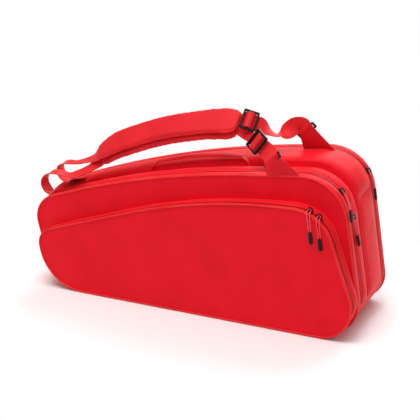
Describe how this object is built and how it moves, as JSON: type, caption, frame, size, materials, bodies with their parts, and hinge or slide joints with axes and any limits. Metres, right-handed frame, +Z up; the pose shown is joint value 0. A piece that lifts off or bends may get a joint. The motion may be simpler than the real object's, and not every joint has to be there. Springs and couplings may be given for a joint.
{
  "type": "racket sports bag",
  "caption": "Soft tournament racket bag with two zipped compartments, a zipped front pocket, a grab handle and stacked padded shoulder straps.",
  "frame": {"origin": "on the floor under the seam between the two compartments, near the middle of the bag's length", "axes": "+X towards the tall head end, -Y towards the front pocket, +Z up"},
  "size_m": [0.757, 0.2579, 0.4325],
  "materials": {
    "shell_fabric": "satin red woven polyester over thin foam",
    "pad_fabric": "satin red woven polyester over foam",
    "zip_tape": "red coil zip tape",
    "webbing": "red woven webbing",
    "lining": "dark woven lining",
    "foam": "closed-cell foam",
    "stiffener": "matte sheet",
    "slider_metal": "satin black paint",
    "pull_cord": "braided cord",
    "pull_tip": "soft matte moulding",
    "black_plastic": "semi-gloss moulding"
  },
  "bodies": {
    "bag": {"base_panel": "shell_fabric", "base_boards": "stiffener", "front_head_panel": "shell_fabric", "front_top_panel": "shell_fabric", "rear_head_panel": "shell_fabric", "rear_top_panel": "shell_fabric", "front_divider": "lining", "rear_divider": "lining", "divider_foam": "foam", "front_zip_tape_behind": "zip_tape", "rear_zip_tape_ahead": "zip_tape", "grab_handle_anchors": "webbing", "tail_loop_web": "webbing", "front_ring": "black_plastic", "front_ring_web": "webbing", "front_strap_tab": "webbing", "rear_ring": "black_plastic", "rear_ring_web": "webbing", "rear_strap_tab": "webbing", "tail_ring": "black_plastic", "tail_ring_web": "webbing", "tail_strap_tab": "webbing"},
    "front_lid": {"front_wall": "shell_fabric", "front_lid_band": "shell_fabric", "front_zip_tape_ahead": "zip_tape", "pocket_gusset": "shell_fabric", "pocket_zip_tape_behind": "zip_tape"},
    "pocket_flap": {"pocket_panel": "shell_fabric", "pocket_flap_band": "shell_fabric", "pocket_zip_tape_ahead": "zip_tape"},
    "rear_lid": {"rear_wall": "shell_fabric", "rear_lid_band": "shell_fabric", "rear_zip_tape_behind": "zip_tape"},
    "strap_pair": {"upper_strap_pad": "pad_fabric", "upper_strap_head_web": "webbing", "upper_strap_tail_web": "webbing", "lower_strap_pad": "pad_fabric", "lower_strap_head_web": "webbing", "lower_strap_tail_web": "webbing"},
    "grab_handle": {"grab_handle": "pad_fabric"},
    "front_zip_upper_slider": {"front_zip_upper_slider": "slider_metal"},
    "front_zip_upper_pull": {"front_zip_upper_cord": "pull_cord", "front_zip_upper_tip": "pull_tip"},
    "front_zip_lower_slider": {"front_zip_lower_slider": "slider_metal"},
    "front_zip_lower_pull": {"front_zip_lower_cord": "pull_cord", "front_zip_lower_tip": "pull_tip"},
    "rear_zip_slider": {"rear_zip_slider": "slider_metal"},
    "rear_zip_pull": {"rear_zip_cord": "pull_cord", "rear_zip_tip": "pull_tip"},
    "pocket_zip_upper_slider": {"pocket_zip_upper_slider": "slider_metal"},
    "pocket_zip_upper_pull": {"pocket_zip_upper_cord": "pull_cord", "pocket_zip_upper_tip": "pull_tip"},
    "pocket_zip_lower_slider": {"pocket_zip_lower_slider": "slider_metal"},
    "pocket_zip_lower_pull": {"pocket_zip_lower_cord": "pull_cord", "pocket_zip_lower_tip": "pull_tip"},
    "upper_adjuster": {"upper_strap_adjuster": "black_plastic", "upper_strap_fold": "webbing"},
    "lower_adjuster": {"lower_strap_adjuster": "black_plastic", "lower_strap_fold": "webbing"}
  },
  "joints": [
    {"name": "front_lid_fold", "type": "hinge", "parent": "bag", "child": "front_lid", "pos_m": [0, -0.06248, 0.002], "axis": [0.9992, -0.0402, 0], "range_deg": [0, 20]},
    {"name": "rear_lid_fold", "type": "hinge", "parent": "bag", "child": "rear_lid", "pos_m": [0, 0.102, 0.002], "axis": [-0.9979, -0.0647, 0], "range_deg": [0, 25]},
    {"name": "pocket_flap_fold", "type": "hinge", "parent": "front_lid", "child": "pocket_flap", "pos_m": [0, -0.1025, 0.0045], "axis": [0.9979, -0.0647, 0], "range_deg": [0, 20]},
    {"name": "front_zip_upper_run", "type": "hinge", "parent": "bag", "child": "front_zip_upper_slider", "pos_m": [0.25129, -0.04571, 0.22946], "axis": [-0.0246, -0.9997, 0], "range_deg": [0, 45]},
    {"name": "front_zip_upper_pull_swing", "type": "hinge", "parent": "front_zip_upper_slider", "child": "front_zip_upper_pull", "pos_m": [0.326, -0.04745, 0.29912], "axis": [0, -1, 0], "range_deg": [0, 75]},
    {"name": "front_zip_lower_run", "type": "slide", "parent": "bag", "child": "front_zip_lower_slider", "axis": [0.161, -0.004, -0.9869], "range_m": [0, 0.165]},
    {"name": "front_zip_lower_pull_swing", "type": "hinge", "parent": "front_zip_lower_slider", "child": "front_zip_lower_pull", "pos_m": [0.35211, -0.04805, 0.24591], "axis": [0, -1, 0], "range_deg": [0, 75]},
    {"name": "rear_zip_run", "type": "hinge", "parent": "bag", "child": "rear_zip_slider", "pos_m": [0.25063, 0.10221, 0.24539], "axis": [0.055, -0.9985, 0], "range_deg": [0, 55]},
    {"name": "rear_zip_pull_swing", "type": "hinge", "parent": "rear_zip_slider", "child": "rear_zip_pull", "pos_m": [0.33726, 0.1067, 0.29952], "axis": [0, -1, 0], "range_deg": [0, 75]},
    {"name": "pocket_zip_upper_run", "type": "hinge", "parent": "pocket_flap", "child": "pocket_zip_upper_slider", "pos_m": [0.24514, -0.10551, 0.18258], "axis": [-0.057, -0.9984, 0], "range_deg": [0, 20]},
    {"name": "pocket_zip_upper_pull_swing", "type": "hinge", "parent": "pocket_zip_upper_slider", "child": "pocket_zip_upper_pull", "pos_m": [0.27811, -0.10726, 0.27077], "axis": [0, 1, 0], "range_deg": [-3, 18]},
    {"name": "pocket_zip_lower_run", "type": "hinge", "parent": "pocket_flap", "child": "pocket_zip_lower_slider", "pos_m": [0.24514, -0.10551, 0.18258], "axis": [0.057, 0.9984, 0], "range_deg": [0, 33]},
    {"name": "pocket_zip_lower_pull_swing", "type": "hinge", "parent": "pocket_zip_lower_slider", "child": "pocket_zip_lower_pull", "pos_m": [0.29914, -0.10839, 0.2597], "axis": [0, 1, 0], "range_deg": [-10, 3]},
    {"name": "grab_handle_lift", "type": "slide", "parent": "bag", "child": "grab_handle", "axis": [0, 0, 1], "range_m": [0, 0.01]},
    {"name": "strap_pair_swing", "type": "hinge", "parent": "bag", "child": "strap_pair", "pos_m": [-0.0725, -0.002, 0.297], "axis": [0.9628, 0.0072, 0.27], "range_deg": [-20, 20]},
    {"name": "upper_adjuster_slide", "type": "slide", "parent": "strap_pair", "child": "upper_adjuster", "axis": [0.9315, 0.2329, -0.2794], "range_m": [0, 0.01]},
    {"name": "lower_adjuster_slide", "type": "slide", "parent": "strap_pair", "child": "lower_adjuster", "axis": [0.7596, -0.4498, -0.4698], "range_m": [0, 0.0065]}
  ]
}
